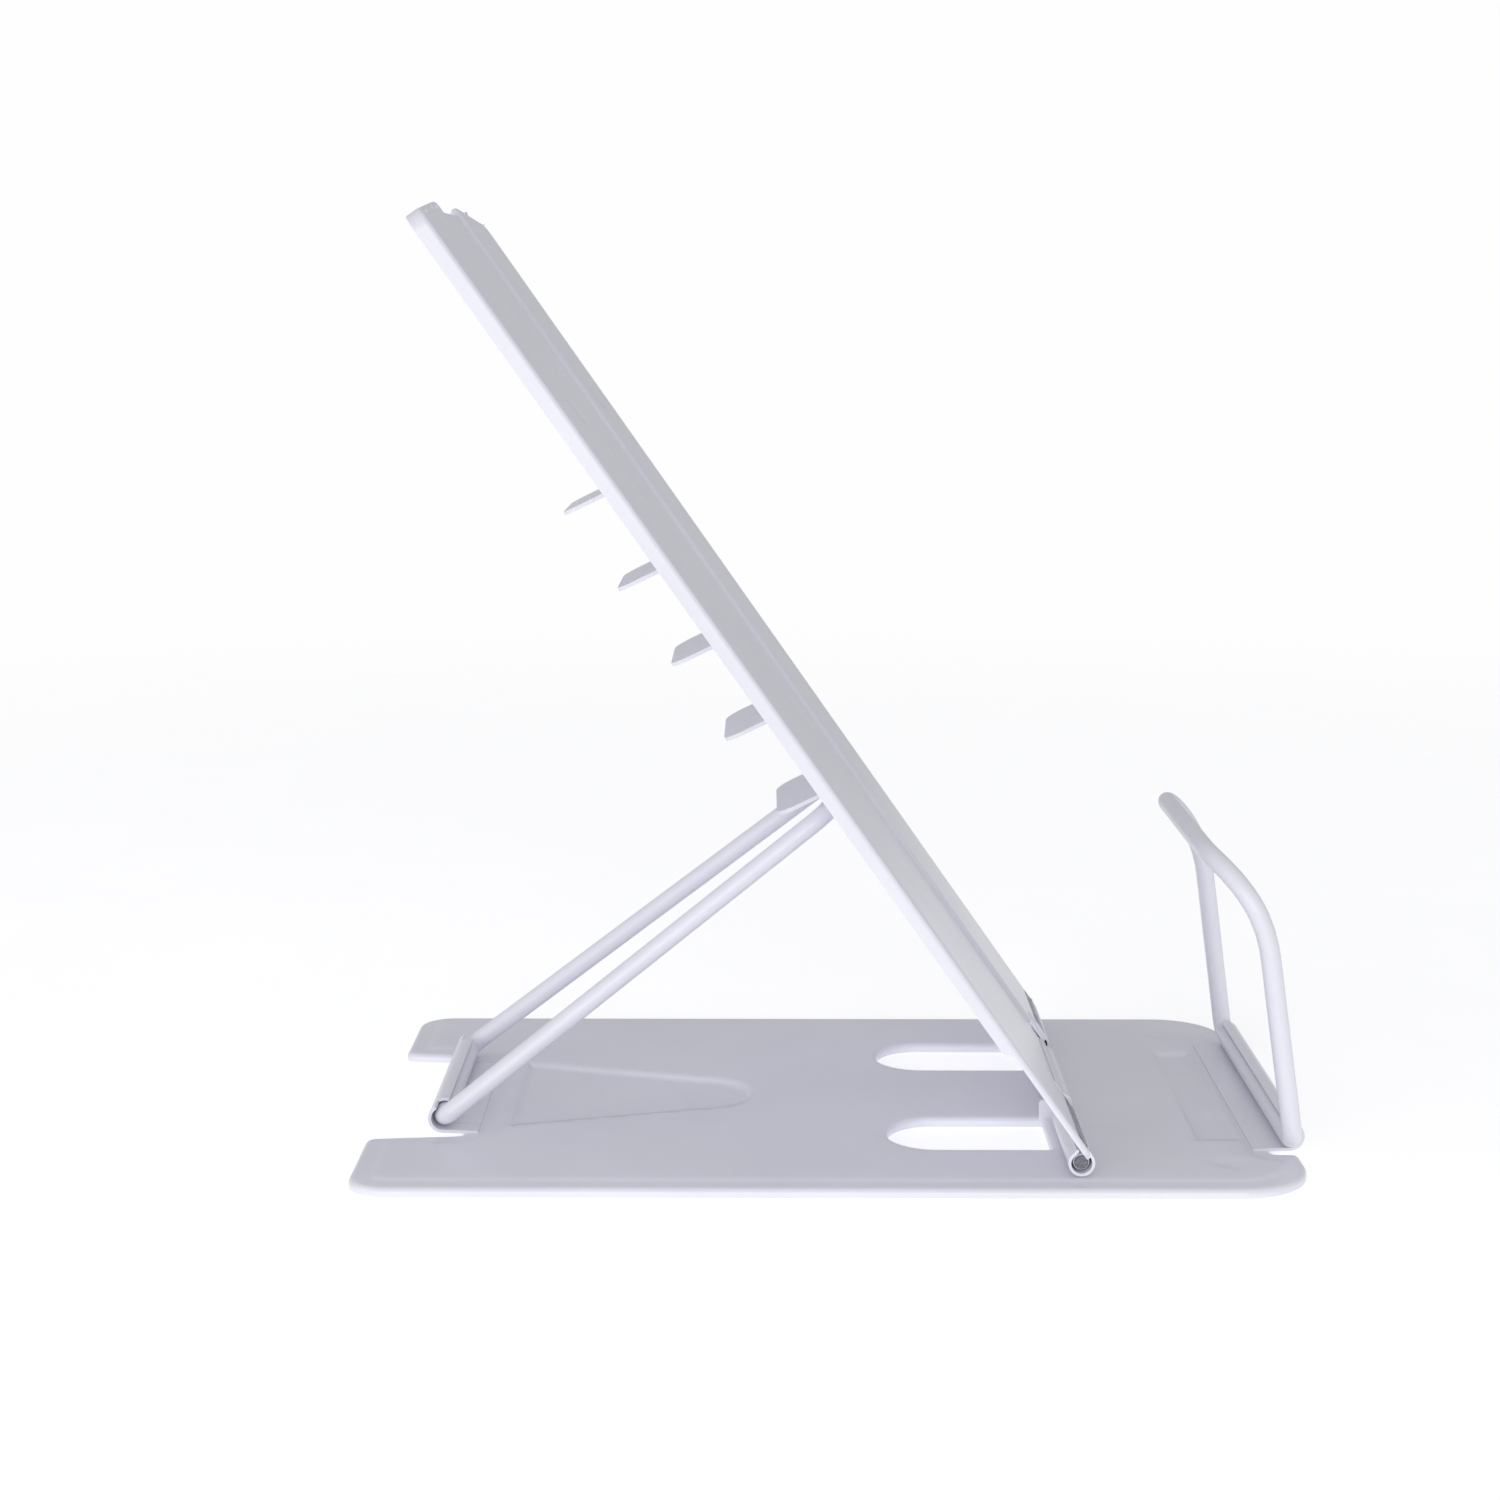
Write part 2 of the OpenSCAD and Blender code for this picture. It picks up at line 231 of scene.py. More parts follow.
def outward(loop):
    """Unit normals of a closed outline, pointing away from the material."""
    along = np.roll(loop, -1, 0) - np.roll(loop, 1, 0)
    along /= np.linalg.norm(along, axis=1)[:, None]
    return np.stack([along[:, 1], -along[:, 0]], 1)


def inside(points, loops):
    """Which points lie in the material that the loops bound, by crossings."""
    hit = np.zeros(len(points), bool)
    for loop in loops:
        for a, b in zip(loop, np.roll(loop, -1, 0)):
            span = (a[1] > points[:, 1]) != (b[1] > points[:, 1])
            if not span.any():
                continue
            x = a[0] + (points[:, 1] - a[1]) * (b[0] - a[0]) / (b[1] - a[1] + 1e-12)
            hit ^= span & (points[:, 0] < x)
    return hit


def edge_distance(points, loops):
    """Distance from each point to the nearest outline point."""
    marks = np.concatenate(loops)
    out = np.empty(len(points))
    for start in range(0, len(points), CHUNK):
        part = points[start:start + CHUNK, None] - marks[None]
        out[start:start + CHUNK] = np.sqrt((part ** 2).sum(2).min(1))
    return out


def smooth(t):
    """0 below 0, 1 above 1, and an even S between."""
    t = np.clip(t, 0, 1)
    return t * t * (3 - 2 * t)


# ---- Meshes ----------------------------------------------------------------

SHARP_ANGLE = math.radians(38)


def fill(loops, spacing, guides=()):
    """Points and triangles between closed outlines, on a square grid. The guides are
    rows of points that follow the edges of pressed shapes."""
    low = np.min([loop.min(0) for loop in loops], 0)
    high = np.max([loop.max(0) for loop in loops], 0)
    xs = np.arange(low[0] + spacing / 2, high[0], spacing)
    ys = np.arange(low[1] + spacing / 2, high[1], spacing)
    grid = np.stack(np.meshgrid(xs, ys), -1).reshape(-1, 2)
    grid = grid[inside(grid, loops)]
    grid = grid[edge_distance(grid, [*loops, *guides]) > spacing * GRID_GAP]
    points, edges = [], []
    for loop in loops:
        first, count = len(points), len(loop)
        points += [Vector(p) for p in loop]
        edges += [(first + k, first + (k + 1) % count) for k in range(count)]
    for guide in guides:
        guide = guide[inside(guide, loops)]
        points += [Vector(p) for p in guide[edge_distance(guide, loops) > GUIDE_GAP]]
    points += [Vector(p) for p in grid]
    verts, _, faces, *_ = delaunay_2d_cdt(points, edges, [], 0, 1e-5)
    verts = np.array([tuple(v) for v in verts])
    faces = np.array([f for f in faces if len(f) == 3])
    keep = inside(verts[faces].mean(1), loops)
    return verts, faces[keep]


def pressed_sheet(bm, loops, height, place, spacing, guides=()):
    """A sheet with turned edges. loops holds (outline, roll radius, turned depth), with
    the depth as a number or as a function of the points. height gives the top face over
    flat points, and place takes (x, y, height) arrays to the object's frame."""
    inner = [loop - outward(loop) * roll for loop, roll, _ in loops]
    verts, faces = fill(inner, spacing, guides)
    top = [bm.verts.new(p) for p in place(verts[:, 0], verts[:, 1], height(verts))]
    for a, b, c in faces:
        bm.faces.new((top[a], top[b], top[c]))
    for (loop, roll, depth), rim in zip(loops, inner):
        normals = outward(loop)
        level = height(rim)
        deep = depth(rim) if callable(depth) else np.full(len(rim), depth)
        nearest = ((rim[:, None] - verts[None]) ** 2).sum(2).argmin(1)
        last = [top[k] for k in nearest]
        turns = [(roll * math.sin(a), roll * (1 - math.cos(a)))
                 for a in np.linspace(0, math.pi / 2, 6)[1:]]
        rows = [(out, np.full(len(rim), down)) for out, down in turns]
        rows += [(roll, roll + (np.maximum(deep, roll + 0.05) - roll) * f) for f in (0.5, 1.0)]
        for out, down in rows:
            flat = rim + normals * out
            ring = [bm.verts.new(p) for p in place(flat[:, 0], flat[:, 1], level - down)]
            for k in range(len(ring)):
                j = (k + 1) % len(ring)
                if last[k] is not last[j]:
                    bm.faces.new((last[k], ring[k], ring[j], last[j]))
            last = ring


def strip(bm, path, widths, place):
    """A surface along path, a list of (x, height) points, across y between the pairs in
    widths. place takes (x, y, height) arrays to the object's frame."""
    rows = []
    for (x, z), (y0, y1) in zip(path, widths):
        ys = np.linspace(y0, y1, STRIP_POINTS)
        rows.append([bm.verts.new(p) for p in place(np.full_like(ys, x), ys, np.full_like(ys, z))])
    for a, b in zip(rows, rows[1:]):
        for k in range(STRIP_POINTS - 1):
            bm.faces.new((a[k], b[k], b[k + 1], a[k + 1]))


def arc(cx, cz, r, a0, a1, n):
    """n points of an arc from angle a0 to a1, in degrees."""
    return [(cx + r * math.cos(math.radians(a)), cz + r * math.sin(math.radians(a)))
            for a in np.linspace(a0, a1, n)]


def tube(bm, path, r, sides, across):
    """A round tube along path, closed at both ends; across is never along the path."""
    path = np.array(path, float)
    rings = []
    for i, p in enumerate(path):
        t = path[min(i + 1, len(path) - 1)] - path[max(i - 1, 0)]
        t /= np.linalg.norm(t)
        b = np.cross(t, across)
        b /= np.linalg.norm(b)
        a = np.cross(b, t)
        turn = np.linspace(0, 2 * math.pi, sides, endpoint=False)
        ring = p + r * (np.cos(turn)[:, None] * a + np.sin(turn)[:, None] * b)
        rings.append([bm.verts.new(v * MM) for v in ring])
    for r0, r1 in zip(rings, rings[1:]):
        for k in range(sides):
            j = (k + 1) % sides
            bm.faces.new((r0[k], r0[j], r1[j], r1[k]))
    bm.faces.new(rings[0][::-1])
    bm.faces.new(rings[-1])


def lathe(bm, outline, place, sides):
    """A turned body: outline is (radius, along) from one end of the axis to the other."""
    rows = []
    for r, along in outline:
        turn = np.linspace(0, 2 * math.pi, sides, endpoint=False)
        if r == 0:
            rows.append([bm.verts.new(place(0, 0, along))])
        else:
            rows.append([bm.verts.new(place(r * math.cos(a), r * math.sin(a), along))
                         for a in turn])
    for a, b in zip(rows, rows[1:]):
        for k in range(sides):
            j = (k + 1) % sides
            ring = [a[k % len(a)], a[j % len(a)], b[j % len(b)], b[k % len(b)]]
            bm.faces.new(list(dict.fromkeys(ring)))


def finished(name, parts, material):
    """One smooth-shaded object from several (bmesh, sheet thickness, offset) parts. A
    thickness of 0 leaves a part as it is; offset is -1 for metal below the surface and 0
    for metal on both sides of it."""
    whole = bmesh.new()
    for bm, thickness, offset in parts:
        bmesh.ops.recalc_face_normals(bm, faces=bm.faces)
        mesh = bpy.data.meshes.new(name)
        bm.to_mesh(mesh)
        bm.free()
        if thickness:
            scratch = bpy.data.objects.new(name, mesh)
            bpy.context.collection.objects.link(scratch)
            solid = scratch.modifiers.new("thickness", "SOLIDIFY")
            solid.thickness = thickness * MM
            solid.offset = offset
            solid.use_even_offset = False
            solid.use_quality_normals = True
            graph = bpy.context.evaluated_depsgraph_get()
            mesh = bpy.data.meshes.new_from_object(scratch.evaluated_get(graph))
            bpy.data.objects.remove(scratch)
        whole.from_mesh(mesh)
    mesh = bpy.data.meshes.new(name)
    whole.to_mesh(mesh)
    whole.free()
    mesh.materials.clear()
    mesh.materials.append(material)
    mesh.shade_smooth()
    mesh.set_sharp_from_angle(angle=SHARP_ANGLE)
    obj = bpy.data.objects.new(name, mesh)
    bpy.context.collection.objects.link(obj)
    return obj


def stacked(x, y, z):
    """Points in metres from arrays of millimetres."""
    return np.stack([x, y, z], 1) * MM


def flat_part(loops, spacing, place, thickness):
    """An even sheet between closed outlines; place takes (x, y) arrays."""
    verts, faces = fill(loops, spacing)
    bm = bmesh.new()
    made = [bm.verts.new(p) for p in place(verts[:, 0], verts[:, 1])]
    for a, b, c in faces:
        bm.faces.new((made[a], made[b], made[c]))
    return bm, thickness, 0


def on_back(u, y, n):
    """The back plate's own frame: u up along the plate, n out of its front face."""
    x = HINGE[0] - math.cos(TILT) * u + math.sin(TILT) * n
    z = HINGE[1] + math.sin(TILT) * u + math.cos(TILT) * n
    return stacked(x, y, z)


# ---- Materials -------------------------------------------------------------

# Texture scales per metre, and the depth of the peel in metres
CLOUD_SCALE, RUB_SCALE, PEEL_SCALE, CUT_SCALE = 22, 60, 900, 1400
PEEL_DEPTH = 0.0004
# The colour sockets of a Mix node, which has one set of sockets for each data type
MIX_A, MIX_B, MIX_RESULT = 6, 7, 2


def link(tree, source, output, target, socket):
    tree.links.new(source.outputs[output], target.inputs[socket])


def noise(tree, coords, scale, detail):
    """A noise texture in the object's own coordinates."""
    node = tree.nodes.new("ShaderNodeTexNoise")
    node.inputs["Scale"].default_value = scale
    node.inputs["Detail"].default_value = detail
    link(tree, coords, "Object", node, "Vector")
    return node


def ramp(tree, source, output, low, high):
    """A colour ramp between two (place, colour) stops."""
    node = tree.nodes.new("ShaderNodeValToRGB")
    for stop, (place, colour) in zip(node.color_ramp.elements, (low, high)):
        stop.position = place
        stop.color = (*colour, 1)
    link(tree, source, output, node, "Fac")
    return node


def span(tree, source, output, low, high):
    """Maps a 0 to 1 value to a range."""
    node = tree.nodes.new("ShaderNodeMapRange")
    node.inputs["To Min"].default_value = low
    node.inputs["To Max"].default_value = high
    link(tree, source, output, node, "Value")
    return node


def coated(name, dark, light, roughness, peel, coat):
    """A sprayed coat: soft clouding, uneven gloss and a fine orange peel."""
    material = bpy.data.materials.new(name)
    material.use_nodes = True
    tree = material.node_tree
    shader = tree.nodes["Principled BSDF"]
    coords = tree.nodes.new("ShaderNodeTexCoord")
    cloud = noise(tree, coords, CLOUD_SCALE, 3)
    colour = ramp(tree, cloud, "Fac", (0.3, dark), (0.7, light))
    link(tree, colour, "Color", shader, "Base Color")
    rub = noise(tree, coords, RUB_SCALE, 4)
    rough = span(tree, rub, "Fac", roughness - 0.05, roughness + 0.06)
    link(tree, rough, "Result", shader, "Roughness")
    bump = tree.nodes.new("ShaderNodeBump")
    bump.inputs["Strength"].default_value = peel
    bump.inputs["Distance"].default_value = PEEL_DEPTH
    link(tree, noise(tree, coords, PEEL_SCALE, 2), "Fac", bump, "Height")
    link(tree, bump, "Normal", shader, "Normal")
    shader.inputs["Coat Weight"].default_value = coat
    shader.inputs["Coat Roughness"].default_value = 0.15
    return material


def plated_rod(end):
    """Pale plated rod whose cut faces, beyond the distance end from the middle, are painted near black as painted
    shade at the rod's ends.
    """
    material = coated("plated_rod", (0.7, 0.7, 0.75), (0.76, 0.76, 0.81), 0.3, 0.12, 0)
    tree = material.node_tree
    shader = tree.nodes["Principled BSDF"]
    coords = tree.nodes.new("ShaderNodeTexCoord")
    parts = tree.nodes.new("ShaderNodeSeparateXYZ")
    link(tree, coords, "Object", parts, "Vector")
    away = tree.nodes.new("ShaderNodeMath")
    away.operation = "ABSOLUTE"
    link(tree, parts, "Y", away, 0)
    # mask of the rod's ends, where the painted shade goes
    cut_end_shade = tree.nodes.new("ShaderNodeMath")
    cut_end_shade.operation = "GREATER_THAN"
    cut_end_shade.inputs[1].default_value = end
    link(tree, away, "Value", cut_end_shade, 0)
    # painted shade: a near-black colour with a faint grain on the cut ends, darker than the steel's own colour
    grain = noise(tree, coords, CUT_SCALE, 3)
    face = ramp(tree, grain, "Fac", (0.35, (0.1, 0.1, 0.12)), (0.65, (0.24, 0.24, 0.27)))
    mix = tree.nodes.new("ShaderNodeMix")
    mix.data_type = "RGBA"
    link(tree, cut_end_shade, "Value", mix, "Factor")
    plated = shader.inputs["Base Color"].links[0].from_socket
    tree.links.new(plated, mix.inputs[MIX_A])
    tree.links.new(face.outputs["Color"], mix.inputs[MIX_B])
    tree.links.new(mix.outputs[MIX_RESULT], shader.inputs["Base Color"])
    return material


def rubber():
    """Matt dark rubber with a coarse grain."""
    return coated("foot_rubber", (0.035, 0.035, 0.038), (0.06, 0.06, 0.063), 0.75, 0.4, 0)


COAT = coated("pale_coat", (0.745, 0.745, 0.82), (0.785, 0.785, 0.855), 0.3, 0.05, 0.12)

# ---- Base plate ------------------------------------------------------------


def base_loop():
    """The base plate's outline, anticlockwise from the rear near leg."""
    curl_rear = LOOP_PIVOT[0] - CURL_BORE - SHEET - 0.8
    relief = FRONT_CURL_HALF + 2
    near = [(BASE_REAR, -NOTCH_TIP, 3), (BASE_REAR, -BASE_HALF, REAR_CORNER),
            (BASE_FRONT, -BASE_HALF, FRONT_CORNER), (BASE_FRONT, -relief, 2),
            (curl_rear, -relief, 1.6)]
    far = [(x, -y, r) for x, y, r in near[::-1]]
    notch = [(NOTCH_DEPTH, NOTCH_END, 1.6), (NOTCH_DEPTH, -NOTCH_END, 1.6)]
    return rounded_loop(near + far + notch, 1.6)


def slot_loop(side):
    """One long slot, clockwise because the material is outside it."""
    r = (SLOT_OUT - SLOT_IN) / 2
    y0, y1 = sorted((side * SLOT_IN, side * SLOT_OUT))
    corners = [(SLOT_REAR, y0, r * 0.999), (SLOT_REAR, y1, r * 0.999),
               (SLOT_FRONT, y1, 1), (SLOT_FRONT, y0, 1)]
    return rounded_loop(corners, 1.4)


BASE_LOOP = base_loop()
FOOT_SPOTS = [np.mean(node_box(node), 0)[:2] for node in frame["nodes"] if "foot_front" in node]


def base_height(points):
    """Height of the base's top face: panels pressed into the flat sheet."""
    x, y = points[:, 0], np.abs(points[:, 1])
    top = np.full(len(points), BASE_TOP)
    # the border that follows the outline lies a little lower than the field
    edge = edge_distance(points, [BASE_LOOP])
    top -= BORDER * (1 - smooth((edge - BORDER_START) / BORDER_SLOPE))
    # tapered recess that runs forward from the strut's curl to a round tip
    taper = (RECESS_R - RECESS_HALF) / (RECESS_TIP - RECESS_REAR)
    half = RECESS_HALF + taper * (x - RECESS_REAR)
    side = np.where(x < RECESS_TIP, y - half, np.hypot(x - RECESS_TIP, y) - RECESS_R)
    recess = smooth((SLOPE / 2 - np.maximum(side, RECESS_REAR - x)) / SLOPE)
    # narrow pocket behind the loop's curl
    past = np.maximum(POCKET_REAR - x, x - POCKET_FRONT)
    pocket = smooth((SLOPE / 2 - np.maximum(past, y - POCKET_HALF)) / SLOPE)
    top -= EMBOSS * np.maximum(recess, pocket)
    # round dimples over the front feet
    for spot in FOOT_SPOTS:
        away = np.hypot(points[:, 0] - spot[0], points[:, 1] - spot[1])
        top -= BORDER * smooth((FOOT_DIMPLE_R - away) / FOOT_DIMPLE_SLOPE)
    return top


def base_guides():
    """Rows of points at the top and foot of each pressed slope."""
    rows = [BASE_LOOP - outward(BASE_LOOP) * (BORDER_START + BORDER_SLOPE * f)
            for f in (0, 0.35, 0.65, 1)]
    for e in (-SLOPE / 2, 0, SLOPE / 2):
        rear, wide, r = RECESS_REAR - e, RECESS_HALF + e, RECESS_R + e
        side = [(rear + (RECESS_TIP - rear) * f, wide + (r - wide) * f)
                for f in np.linspace(0, 1, 40)]
        tip = arc(RECESS_TIP, 0, r, 88, -88, 34)
        across = [(rear, y) for y in np.linspace(-wide, wide, 44)]
        rows.append(np.array(side + tip + [(x, -y) for x, y in side] + across))
        x0, x1, half = POCKET_REAR - e, POCKET_FRONT + e, POCKET_HALF + e
        pocket = [(x0, -half), (x1, -half), (x1, half), (x0, half)]
        rows.append(rounded_loop([(x, y, POCKET_CORNER) for x, y in pocket], 1.2))
    return rows


def base_sheet():
    bm = bmesh.new()
    depth = BASE_TOP - BASE_RIM
    loops = [(BASE_LOOP, EDGE_ROLL, depth)]
    loops += [(slot_loop(side), EDGE_ROLL, depth) for side in (-1, 1)]
    pressed_sheet(bm, loops, base_height, stacked, 2, base_guides())
    return bm, BASE_SHEET, -1


def curl(pivot_xz, y0, y1, side, end):
    """The sheet rolled round a wire between y0 and y1: out of the plate, under the
    wire and round it up to the angle end. side is 1 where the plate lies ahead."""
    bm = bmesh.new()
    x, z = pivot_xz
    r = CURL_BORE + SHEET - CURL_WALL / 2
    lead_in = [(9, -r - 0.4), (6, -r - 0.2), (4, -r - 0.05), (2, -r)]
    turn = arc(0, 0, r, -90, end, 30)
    path = [(x + side * px, z + pz) for px, pz in lead_in + turn]
    strip(bm, path, [(y0, y1)] * len(path), stacked)
    return bm, CURL_WALL, 0


def lug(side):
    """Upright lug with the hole for the hinge rod."""
    x, z = HINGE
    foot, rear, top = BASE_TOP - SHEET, x - LUG_BACK, z + LUG_LEVEL
    arch = arc(x, z, LUG_R, 0, 180 - math.degrees(math.asin(LUG_LEVEL / LUG_R)), 17)
    outline = np.array([(rear, foot), (x + LUG_R, foot)] + arch
                       + [(rear + LUG_CUT, top), (rear, top - LUG_CUT)])
    hole = np.array(arc(x, z, ROD_R + 2 * PLAY, 360, 22.5, 16))
    middle = side * (SLOT_IN - SHEET / 2)
    return flat_part([outline, hole], 1.2,
                     lambda a, b: stacked(a, np.full_like(a, middle), b), SHEET)


base_parts = [base_sheet(), lug(-1), lug(1),
              curl(STRUT_PIVOT, -CURL_SLIT, CURL_SLIT, 1, CURL_END),
              curl(STRUT_PIVOT, -REAR_CURL_HALF, -CURL_SLIT - CURL_GAP, 1, EAR_END),
              curl(STRUT_PIVOT, CURL_SLIT + CURL_GAP, REAR_CURL_HALF, 1, EAR_END),
              curl(LOOP_PIVOT, -FRONT_CURL_HALF, FRONT_CURL_HALF, -1, CURL_END)]
base = finished("base_pressing", base_parts, COAT)
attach(base, "base")
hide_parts("base_plate")

# ---- Back plate ------------------------------------------------------------


def back_loop():
    """The back plate's outline in its own frame, with the two openings beside the
    middle knuckle."""
    near = [(CUT_LEN, -KNUCKLE_IN, 2), (0, -KNUCKLE_IN, 0), (0, -KNUCKLE_OUT, 0),
            (2, -BACK_HALF, 1), (BACK_LEN - TOP_FALL, -BACK_HALF, TOP_CORNER),
            (BACK_LEN, -CHANNEL_HALF - 1.5, 2.4),
            (BACK_LEN - NOTCH_FALL, -CHANNEL_HALF + 1.5, 1.5)]
    far = [(x, -y, r) for x, y, r in near[::-1]]
    end = KNUCKLE_R + 0.5
    middle = [(CUT_LEN, MIDDLE_HALF, 2), (end, MIDDLE_HALF, 0),
              (end, -MIDDLE_HALF, 0), (CUT_LEN, -MIDDLE_HALF, 2)]
    return rounded_loop(near + far + middle, 0.9)


def back_height(points):
    """Height of the plate's front face: the sunk channel and two small dimples."""
    u, y = points[:, 0], np.abs(points[:, 1])
    top = np.full(len(points), KNUCKLE_R)
    top -= CHANNEL_DROP * smooth((CHANNEL_HALF + CHANNEL_WALL / 2 - y) / CHANNEL_WALL)
    away = np.hypot((u - DIMPLE_U) / DIMPLE_STRETCH, y - DIMPLE_Y)
    top -= DIMPLE_DROP * smooth((DIMPLE_R - away) / DIMPLE_SLOPE)
    return top


def flange_depth(points):
    """How far the edge is turned back: fully along the sides and the top, hardly at
    the bare arms and in the channel's mouth."""
    u, y = points[:, 0], np.abs(points[:, 1])
    full = back_height(points) + FLANGE_EXTRA * u / BACK_LEN
    share = smooth((u - ARM_LEN + 1) / 2.2) * smooth((y - CHANNEL_HALF - 2) / 6)
    return LIP + np.maximum(0, full - LIP) * share


def back_sheet():
    bm = bmesh.new()
    loops = [(back_loop(), BACK_ROLL, flange_depth)]
    us = np.arange(CUT_LEN, BACK_LEN, 2.5)
    walls = [side * (CHANNEL_HALF + CHANNEL_WALL * f)
             for side in (-1, 1) for f in (-0.5, -0.2, 0.2, 0.5)]
    guides = [np.stack([us, np.full(len(us), y)], 1) for y in walls]
    pressed_sheet(bm, loops, back_height, on_back, 3, guides)
    return bm, BACK_SHEET, -1


def rest_tab(index):
    """A tab bent out of the rack, with round free corners."""
    bm = bmesh.new()
    r, run = TAB_BEND, TAB_LEN - TAB_BEND
    u0 = TAB_FIRST + index * TAB_PITCH
    bend = arc(u0 - r * 0.6, RACK_MIDDLE - r, r, 90, math.degrees(TAB_LEAN), 7)
    path = [(u0 - 2, RACK_MIDDLE)] + bend
    halves = [TAB_HALF] * len(path)
    u1, n1 = path[-1]
    # rows lie closer together towards the round corners at the free end
    plain, fine = np.linspace(0.1, 0.65, 4), 1 - 0.35 * np.linspace(0.85, 0, 9) ** 1.6
    for t in [*plain, *fine]:
        inset = max(0, TAB_CORNER - run * (1 - t))
        path.append((u1 + math.sin(TAB_LEAN) * run * t, n1 - math.cos(TAB_LEAN) * run * t))
        halves.append(TAB_HALF - TAB_CORNER + math.sqrt(max(0, TAB_CORNER ** 2 - inset ** 2)))
    strip(bm, path, [(-half, half) for half in halves], on_back)
    return bm, RACK_SHEET, 0


def rack_sheet():
    """The rack's flat sheet, with the windows that its tabs leave."""
    first = TAB_FIRST - RACK_END
    last = TAB_FIRST + (TAB_COUNT - 1) * TAB_PITCH + WINDOW_LEN + RACK_END
    corners = [(first, RACK_HALF), (first, -RACK_HALF), (last, -RACK_HALF), (last, RACK_HALF)]
    loops = [rounded_loop([(u, y, RACK_CORNER) for u, y in corners], 2)]
    wide = TAB_HALF + 0.5
    for k in range(TAB_COUNT):
        u0 = TAB_FIRST + k * TAB_PITCH
        u1 = u0 + WINDOW_LEN
        loops.append(rounded_loop([(u0, wide, 0.4), (u1, wide, 3), (u1, -wide, 3),
                                   (u0, -wide, 0.4)], 2))
    return flat_part(loops, 3, lambda u, y: on_back(u, y, np.full_like(u, RACK_MIDDLE)), RACK_SHEET)


def knuckle(y0, y1, drop=0):
    """The sheet's end rolled round the hinge rod, with its free edge back under the
    sheet, which lies lower than the roll's top by drop."""
    bm = bmesh.new()
    r = KNUCKLE_R - KNUCKLE_WALL / 2
    begin = math.acos(1 - drop / r)
    turn = arc(0, 0, r, 90 + math.degrees(begin), -184, 34)
    free_edge = [(3.05, 0.7), (3.4, 1.1)]
    path = [(6, r - drop), (math.sin(begin) * r + 0.6, r - drop)]
    path += [(-x, z) for x, z in turn] + free_edge
    strip(bm, path, [(y0, y1)] * len(path), on_back)
    return bm, KNUCKLE_WALL, 0


back_parts = [back_sheet(), knuckle(-KNUCKLE_OUT, -KNUCKLE_IN),
              knuckle(-MIDDLE_HALF, MIDDLE_HALF, CHANNEL_DROP), knuckle(KNUCKLE_IN, KNUCKLE_OUT)]
back = finished("back_pressing", back_parts, COAT)
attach(back, "back")
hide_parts("back_plate")

rack_parts = [rack_sheet()] + [rest_tab(k) for k in range(TAB_COUNT)]
rack = finished("rack_pressing", rack_parts, COAT)
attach(rack, "back")
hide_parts("rest_rack")

# ---- Wires -----------------------------------------------------------------


def wire_half(low, high, reach, bend_low, bend_high):
    """Half of a bent wire as (y, distance from the pivot), from the middle of the pivot
    bar, low to either side, round to the middle of the far bar, high to either side."""
    slope = math.degrees(math.atan2(low - high, reach - bend_low - bend_high))
    bar = [(y, 0) for y in np.linspace(0, low - bend_low - 0.5, 6)]
    start = arc(low - bend_low, bend_low, bend_low, -90, slope, 9)
    end = arc(high - bend_high, reach - bend_high, bend_high, slope, 90, 13)
    (y0, h0), (y1, h1) = start[-1], end[0]
    leg = [(y0 + (y1 - y0) * f, h0 + (h1 - h0) * f) for f in np.linspace(0, 1, 14)[1:-1]]
    return bar + start + leg + end + [(0, reach)]


def bent_wire(name, half, place, across, body, node):
    """A closed wire form from its half outline."""
    points = half + [(-y, h) for y, h in half[-2::-1]]
    bm = bmesh.new()
    tube(bm, [place(y, h) for y, h in points], WIRE_R, WIRE_SIDES, across)
    wire = finished(name, [(bm, 0, 0)], COAT)
    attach(wire, body)
    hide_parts(node)


def on_strut(y, h):
    return (STRUT_PIVOT[0] + math.cos(STRUT_ANGLE) * h, y,
            STRUT_PIVOT[1] + math.sin(STRUT_ANGLE) * h)


def on_loop(y, h):
    """The loop's legs rise straight and bend backwards near the top."""
    a = LOOP_LEAN + max(0, h - LOOP_STRAIGHT) / LOOP_BACK_R
    run = min(h, LOOP_STRAIGHT)
    x = -math.sin(LOOP_LEAN) * run + LOOP_BACK_R * (math.cos(a) - math.cos(LOOP_LEAN))
    z = math.cos(LOOP_LEAN) * run + LOOP_BACK_R * (math.sin(a) - math.sin(LOOP_LEAN))
    return LOOP_PIVOT[0] + x, y, LOOP_PIVOT[1] + z


strut_half = wire_half(STRUT_LOW, STRUT_HIGH, STRUT_LEN, STRUT_BEND_LOW, STRUT_BEND_HIGH)
strut_across = (math.sin(STRUT_ANGLE), 0, -math.cos(STRUT_ANGLE))
bent_wire("strut_bar", strut_half, on_strut, strut_across, "strut", "strut_wire")
loop_half = wire_half(LOOP_LOW, LOOP_HIGH, LOOP_LEN, LOOP_BEND_LOW, LOOP_BEND_HIGH)
bent_wire("loop_bar", loop_half, on_loop, (1, 0, 0), "loop", "retaining_loop")

# ---- Rod and feet ----------------------------------------------------------


def hinge_rod():
    """The plain rod, with a small chamfer at each end."""
    low, high = node_box("hinge_rod")
    half, chamfer = high[1], 0.5
    ends = [(0, -half), (ROD_R - chamfer, -half), (ROD_R, -half + chamfer)]
    outline = ends + [(r, -y) for r, y in ends[::-1]]
    bm = bmesh.new()
    lathe(bm, outline, lambda a, b, y: ((HINGE[0] + a) * MM, y * MM, (HINGE[1] + b) * MM),
          ROD_SIDES)
    rod = finished("rod", [(bm, 0, 0)], plated_rod((half - chamfer * 0.5) * MM))
    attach(rod, "base")
    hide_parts("hinge_rod")


